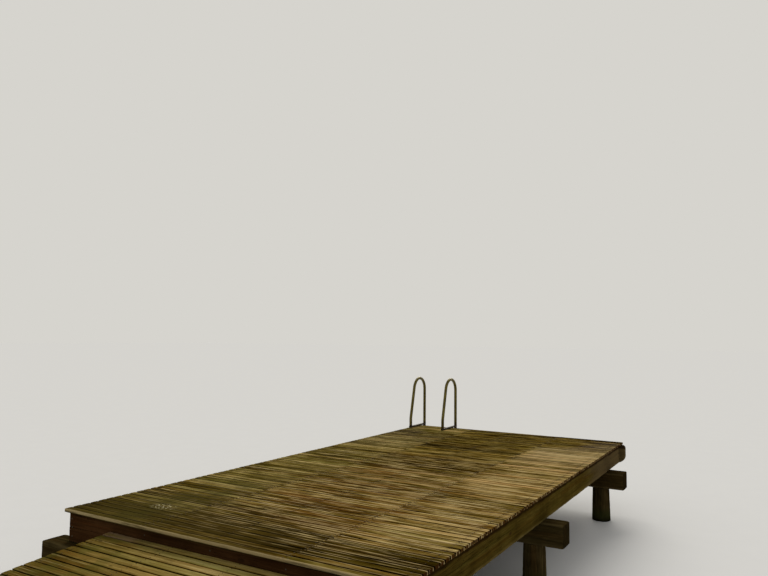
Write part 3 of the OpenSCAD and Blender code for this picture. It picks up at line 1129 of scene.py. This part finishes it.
    def screw_stains(self, beams):
        """Dark stains round the screws over these beams."""
        off = 10.0
        for beam in beams:
            off = self.calc("MINIMUM", off, abs(self.x - node_middle(beam)))
        beside = abs(abs(self.across) - SCREW_ROW)
        stain = self.band(off, 0.045, 0.004) * self.band(beside, 0.009, 0.002)
        self.lay(stain * self.band(self.streak, 0.36, 0.60) * 0.5, (34, 24, 12))

    def wetness(self, wet):
        """Green and black low down, where a pile stays wet up to a level."""
        level = self.z + self.noise(self.place, 9.0, 3) * 0.08
        self.lay(self.band(level, wet + 0.16, wet + 0.02) * 0.7, (44, 48, 22))
        self.lay(self.band(level, wet + 0.03, wet - 0.03) * 0.85, (20, 18, 12))


def wood(name, shades, streaks=0.9, blotches=0.8, boards=0.35, fibres=None, worn=None,
         gaps=None, ridges=None, screw_beams=(), tints=(), patches=(), wet=None,
         end_dark=0.55, end_shade=None):
    """A wood of shades from the darkest to the palest.

    streaks, blotches and boards are how much each varies the tone. Fibres are a mask and a
    shade, and worn is the worn edges' shade. Tints and patches are masks with a shade and
    the way it is blended in: tints lie under the wear, and patches over it.
    """
    s = Wood(name, shades, streaks, blotches, boards)
    s.hues()
    s.lay_masks(tints)
    if fibres:
        s.bare_fibres(*fibres)
    s.cracks(end_dark, end_shade or shades[0])
    s.edges(worn, gaps, ridges)
    s.lay_masks(patches)
    if screw_beams:
        s.screw_stains(screw_beams)
    if wet:
        s.wetness(wet)
    height = s.fibre * 0.35 + s.rings * 0.25 + s.thin * 0.5 - s.crack * 1.6 + s.knot * 0.5
    return s.finish(s.colour, s.band(s.blotch, 0.3, 0.7, 0.78, 0.94), height)


def steel(name, pale, dark, rust, rough, metal, foot=None):
    """Dull steel: streaks down it, stains, and rust, most of it near the given height."""
    s = Shader(name)
    streak = s.noise(s.place, (60, 60, 5), 3)
    spots = s.noise(s.place, 34.0, 4, 0.6)
    colour = s.mix(s.band(streak + spots, 0.75, 1.25), srgb(*dark), srgb(*pale))
    rusty = s.band(spots, 0.50, 0.66) * rust
    if foot:
        rusty = s.most(rusty, s.band(abs(s.z - foot) + spots * 0.05, 0.095, 0.040))
    colour = s.mix(rusty, colour, srgb(50, 34, 19))
    duller = s.band(spots, 0.35, 0.65, rough - 0.1, rough + 0.15)
    return s.finish(
        colour, s.calc("ADD", duller, rusty * 0.3, use_clamp=True),
        spots * 0.3 + streak * 0.1, depth=0.0006, metal=(1.0 - rusty) * metal, specular=0.15,
    )


# Masks on the platform's boards


def near_left(s):
    """How far a place lies in the platform's damp near left part."""
    return s.right(1.15, 0.6) * s.right(0.1, 0.55, 0.1) * s.out(2.4, 0.9)


def golden(s):
    """The middle's far stretch, damp and darker, where the brown has more yellow in it."""
    reach = s.x - s.out(4.9, 5.3, 0.0, 0.4)
    inside = s.right(0.75, 1.05) * s.band(reach, LEFT_X + 2.35, LEFT_X + 2.1)
    return inside * s.out(2.6, 4.6)


def moss(s):
    """Moss where the platform's near left corner stays damp."""
    return near_left(s) * s.patchy(5.0, 4, 0.40, 0.62, 0.3, 0.75)


def dried_fibres(s):
    """How pale the dried streaks are: less where the deck is damp, and near the step."""
    wet = s.most(near_left(s), golden(s))
    return (wet * -0.5 + s.right(1.9, 2.3, 0.85)) * s.out(0.1, 0.8, 0.3)


def deck_gaps(s):
    """How dark the boards' edges are: less where the deck is damp and trodden full."""
    patchy = s.patchy(2.2, 3, 0.36, 0.58, 0.3)
    return patchy * (near_left(s) * -0.9 + 1.0) * 0.85


def trodden(s):
    """Pale ridges along the boards, most of all down the platform's middle."""
    across = s.band(s.x, -1.0, -0.2, 0.25) * s.out(0.0, 0.7, 0.3)
    return across * s.out(4.6, 3.2, 0.6, 0.95)


def nosing(s):
    """The platform's first board, paler along its front edge."""
    front = s.out(0.012, 0.004) * s.band(s.z, DECK_Z - 0.024, DECK_Z - 0.017)
    return front * s.patchy((4, 60, 60), 3, 0.30, 0.55, 0.35, 0.95)


def reddened(s):
    """The platform's middle, where stretches of the boards have stayed red-brown."""
    inside = s.right(0.7, 1.2) * s.right(2.6, 2.2) * s.out(0.4, 0.9) * s.out(3.4, 2.2)
    return inside * s.patchy((1.3, 7, 1), 3, 0.40, 0.66, 0.0, 0.3)


def rosy(s):
    """The platform's middle and right, drier and pinker than the rest."""
    return s.right(0.8, 1.4) * s.out(0.6, 1.3) * s.out(4.3, 3.8, 0.1)


def damp(s):
    """The platform's left row of boards, greener than the rest."""
    return s.right(1.1, 0.7, 0.0, 0.9)


def by_step(s):
    """The boards next to the step, evened out by damp and dirt."""
    return s.right(2.4, 1.5, 0.0, 0.45) * s.out(1.0, 0.25)


def silvered(s):
    """The far corners, where the boards have dried to grey."""
    sides = s.most(s.right(1.0, 0.75, 0.0, 0.55), s.right(2.1, 2.3))
    short = s.y - s.band(abs(s.x - (LEFT_X + 1.52)), 1.0, 1.3, 0.0, 0.7)
    return sides * s.out(3.7, 4.2) * s.band(short, NEAR_Y + 5.3, NEAR_Y + 4.8)


def flecks(s):
    """A few pale flecks of lichen on the platform's left row."""
    off_x = (s.x - (LEFT_X + 0.60)) * 0.6
    off = s.calc("SQRT", off_x ** 2.0 + (s.y - (NEAR_Y + 0.46)) ** 2.0)
    return s.band(off, 0.10, 0.03) * s.patchy(60.0, 2, 0.55, 0.62, 0.0, 0.8)


# Masks on the gangway's boards and on the beams


def gangway_fibres(_):
    """Pale streaks, faint all over."""
    return 0.35


def gangway_gaps(s):
    """How dark the edges of the gangway's boards are, in patches."""
    return s.patchy(2.2, 3, 0.30, 0.55, 0.15, 0.5)


def gangway_moss(s):
    """Green in the wood along the gangway's left edge."""
    green = s.patchy(6.0, 4, 0.42, 0.62, 0.0, 0.45)
    return s.band(s.x, GANGWAY_X + 0.8, GANGWAY_X + 0.35) * green


def first_board_shade(s):
    """The gangway's first board at its left end, painted the mauve-grey of the shade beside the
    step.
    """
    near = s.band(s.y, GANGWAY_Y - 0.071, GANGWAY_Y - 0.068)
    near = near * s.band(s.x, GANGWAY_X + 0.8, GANGWAY_X + 0.2)
    return near * s.patchy((3, 20, 1), 3, 0.35, 0.60, 0.1, 0.55)


def bleached(s):
    """The far stretch of the side beams, and the far beam, gone mauve-grey."""
    streaky = s.noise(s.place, (9, 1.3, 16), 3)
    return s.band(s.y + streaky * 1.3, 3.5, 4.4, 0.0, 0.62)


def overhang_shadow(s):
    """The strip of the beams just below the boards, darkened as painted shadow under the boards'
    overhang, with an uneven lower edge.
    """
    uneven_edge = s.noise(s.place, (9, 9, 1), 3) * 0.030
    return s.band(s.z + uneven_edge, SOFFIT_Z - 0.034, SOFFIT_Z - 0.016, 0.0, 0.85)


# Materials


def deck_wood():
    return wood(
        "deck_wood", [(36, 25, 2), (60, 47, 7), (89, 73, 22), (125, 107, 53), (178, 158, 108)],
        streaks=1.15, boards=0.48, fibres=(dried_fibres, (204, 182, 124)), worn=(190, 170, 124),
        gaps=deck_gaps, ridges=trodden, end_dark=0.85, end_shade=(64, 36, 14),
        screw_beams=("side_beam_left", "inner_beam_2", "side_beam_right"),
        tints=(
            (rosy, (255, 246, 240), "MULTIPLY"), (damp, (246, 254, 244), "MULTIPLY"),
            (silvered, (22, 26, 40), "ADD"),
        ),
        patches=(
            (golden, (248, 245, 203), "MULTIPLY"), (reddened, (112, 70, 30), "MIX"),
            (by_step, (76, 64, 28), "MIX"), (moss, (64, 58, 24), "MIX"),
            (nosing, (168, 150, 108), "MIX"), (flecks, (196, 188, 150), "MIX"),
        ),
    )


def gangway_wood():
    return wood(
        "gangway_wood",
        [(60, 47, 12), (94, 77, 30), (125, 107, 54), (151, 133, 78), (182, 163, 108)],
        streaks=0.75, boards=0.24, fibres=(gangway_fibres, (182, 163, 110)),
        worn=(182, 162, 106), gaps=gangway_gaps, end_dark=0.8, end_shade=(70, 44, 20),
        patches=((gangway_moss, (84, 82, 34), "MIX"), (first_board_shade, (134, 108, 88), "MIX")),
    )


def beam_wood():
    return wood(
        "beam_wood", [(38, 29, 9), (58, 46, 15), (80, 66, 25), (100, 85, 40), (122, 107, 63)],
        streaks=0.7, worn=(120, 106, 66),
        patches=((bleached, (90, 76, 55), "MIX"), (overhang_shadow, (34, 19, 7), "MIX")),
    )


# The near beam's wood: a redder stain than the beams', made darker still as painted shade on the
# step's face
def riser_wood():
    return wood(
        "riser_wood", [(24, 14, 8), (40, 25, 13), (56, 37, 20), (72, 50, 29), (92, 68, 44)],
        streaks=0.5, boards=0.1, worn=(84, 62, 38),
    )


def cap_wood():
    return wood(
        "cap_wood", [(22, 17, 8), (36, 29, 14), (52, 43, 22), (70, 59, 34), (94, 82, 54)],
        worn=(88, 76, 48),
    )


def pile_wood():
    return wood(
        "pile_wood", [(24, 18, 9), (42, 34, 18), (62, 51, 29), (84, 72, 44), (108, 95, 64)],
        wet=0.08,
    )


def floor_material():
    s = Shader("pale_floor")
    speckle = s.noise(s.place, 3.0, 3)
    return s.finish(s.mix(speckle, srgb(219, 220, 220), srgb(222, 223, 223)), 0.9)


# Stage


def floor():
    """A wide pale floor just under the piles."""
    corners = [(-1, -1), (1, -1), (1, 1), (-1, 1)]
    mesh = bpy.data.meshes.new("floor")
    mesh.from_pydata(
        [(x * FLOOR_REACH, y * FLOOR_REACH, FLOOR_LEVEL) for x, y in corners], [], [(0, 1, 2, 3)])
    mesh.materials.append(floor_material())
    show("floor", mesh)


def sky():
    """A pale sky for the camera and in reflections, and a dimmer one that lights the rest."""
    world = bpy.data.worlds.new("studio")
    bpy.context.scene.world = world
    world.use_nodes = True
    world.node_tree.nodes.clear()
    s = Nodes(world.node_tree)
    rays = ("Is Camera Ray", "Is Glossy Ray", "Is Transmission Ray")
    seen, glossy, through = s.node("LightPath", {}, rays)
    seen = s.most(s.most(seen, glossy), through)
    light = s.node("Background", {"Color": srgb(250, 248, 244), "Strength": 0.55})
    sight = s.node("Background", {"Color": srgb(214, 212, 206), "Strength": 1.0})
    s.node("OutputWorld", {0: s.node("MixShader", {0: seen, 1: light, 2: sight})}, ())


def key_light():
    """A soft warm sun, mostly from beyond the platform's far edge."""
    data = bpy.data.lights.new("key", "SUN")
    data.energy, data.angle, data.color = 2.2, math.radians(40), (1.0, 0.95, 0.87)
    towards = Vector((-0.35, 0.90, 0.68))
    show("key", data).rotation_euler = towards.to_track_quat("Z", "Y").to_euler()


def camera():
    data = bpy.data.cameras.new("camera")
    data.lens = CAMERA_LENS
    data.sensor_width = CAMERA_SENSOR
    data.sensor_fit = "HORIZONTAL"
    data.clip_start, data.clip_end = 0.05, 500
    right, up = unit(CAMERA_RIGHT), unit(CAMERA_UP)
    back = unit(np.cross(right, up))
    turn = Matrix((right, np.cross(back, right), back)).transposed().to_4x4()
    place = Vector((LEFT_X, NEAR_Y, DECK_Z)) + Vector(CAMERA_FROM_CORNER)
    obj = show("camera", data)
    obj.matrix_world = Matrix.Translation(place) @ turn
    bpy.context.scene.camera = obj


# Assembly


def decks():
    """The boards of the platform and the gangway, and their screws."""
    screw_steel = steel(
        "screw_steel", (84, 68, 34), (50, 38, 16), rust=0.8, rough=0.7, metal=0.2,
    )
    deck_screws = platform_boards(deck_wood())
    gangway_screws = gangway_boards(gangway_wood(), gangway_place())
    scatter("deck_screws", screw_head(SCREW_R), deck_screws, screw_steel)
    scatter("gangway_screws", screw_head(SCREW_R), gangway_screws, screw_steel)


def timber_frame():
    """The beams, caps, piles and posts. Each timber has its own seed."""
    beams, caps, piles, slope = beam_wood(), cap_wood(), pile_wood(), gangway_place()
    timber("side_beam_left", "Y", beams, 201)
    timber("side_beam_right", "Y", beams, 202)
    for i in (1, 2, 3):
        timber(f"inner_beam_{i}", "Y", beams, 202 + i)
    timber("near_beam", "X", riser_wood(), 207)
    timber("far_beam", "X", beams, 208, sawn_ends=True)
    for seed, bent in enumerate(("near", "middle", "far", "gangway", "shore"), 210):
        timber(bent + "_cap", "X", caps, seed, arris=CAP_ARRIS)
    for seed, name in enumerate(GANGWAY_BEAMS, 220):
        gangway_beam(name, slope, beams, seed)
    gangway_header("gangway_header", slope, beams, 250)
    for seed, names in ((230, ("near_pile", "middle_pile", "far_pile")),
                        (240, ("gangway_post", "shore_post"))):
        for name in names:
            log(name + "_left", piles, seed)
            log(name + "_right", piles, seed + 1)
            seed += 2


def ladder():
    """The two rails on their foot bars, the treads between them, and the welds."""
    tube = steel(
        "ladder_steel", (122, 111, 54), (64, 55, 20), rust=0.5, rough=0.42, metal=0.6,
        foot=DECK_Z,
    )
    bar = steel("foot_steel", (62, 52, 30), (34, 27, 13), rust=0.6, rough=0.6, metal=0.3)
    rail_lo, rail_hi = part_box("ladder_rail_left")
    leg_y = rail_hi.y - (rail_hi.x - rail_lo.x) / 2
    for side in ("left", "right"):
        ladder_rail("ladder_rail_" + side, tube)
        ladder_foot("ladder_foot_" + side, bar, leg_y)
    for i in (1, 2, 3):
        ladder_tread(f"ladder_tread_{i}", tube)
    ladder_welds(tube)


camera()
floor()
sky()
key_light()
decks()
timber_frame()
ladder()
frame_bolts(steel("old_zinc", (96, 88, 72), (44, 37, 28), rust=0.8, rough=0.6, metal=0.4))
bpy.context.scene.view_settings.view_transform = "Standard"
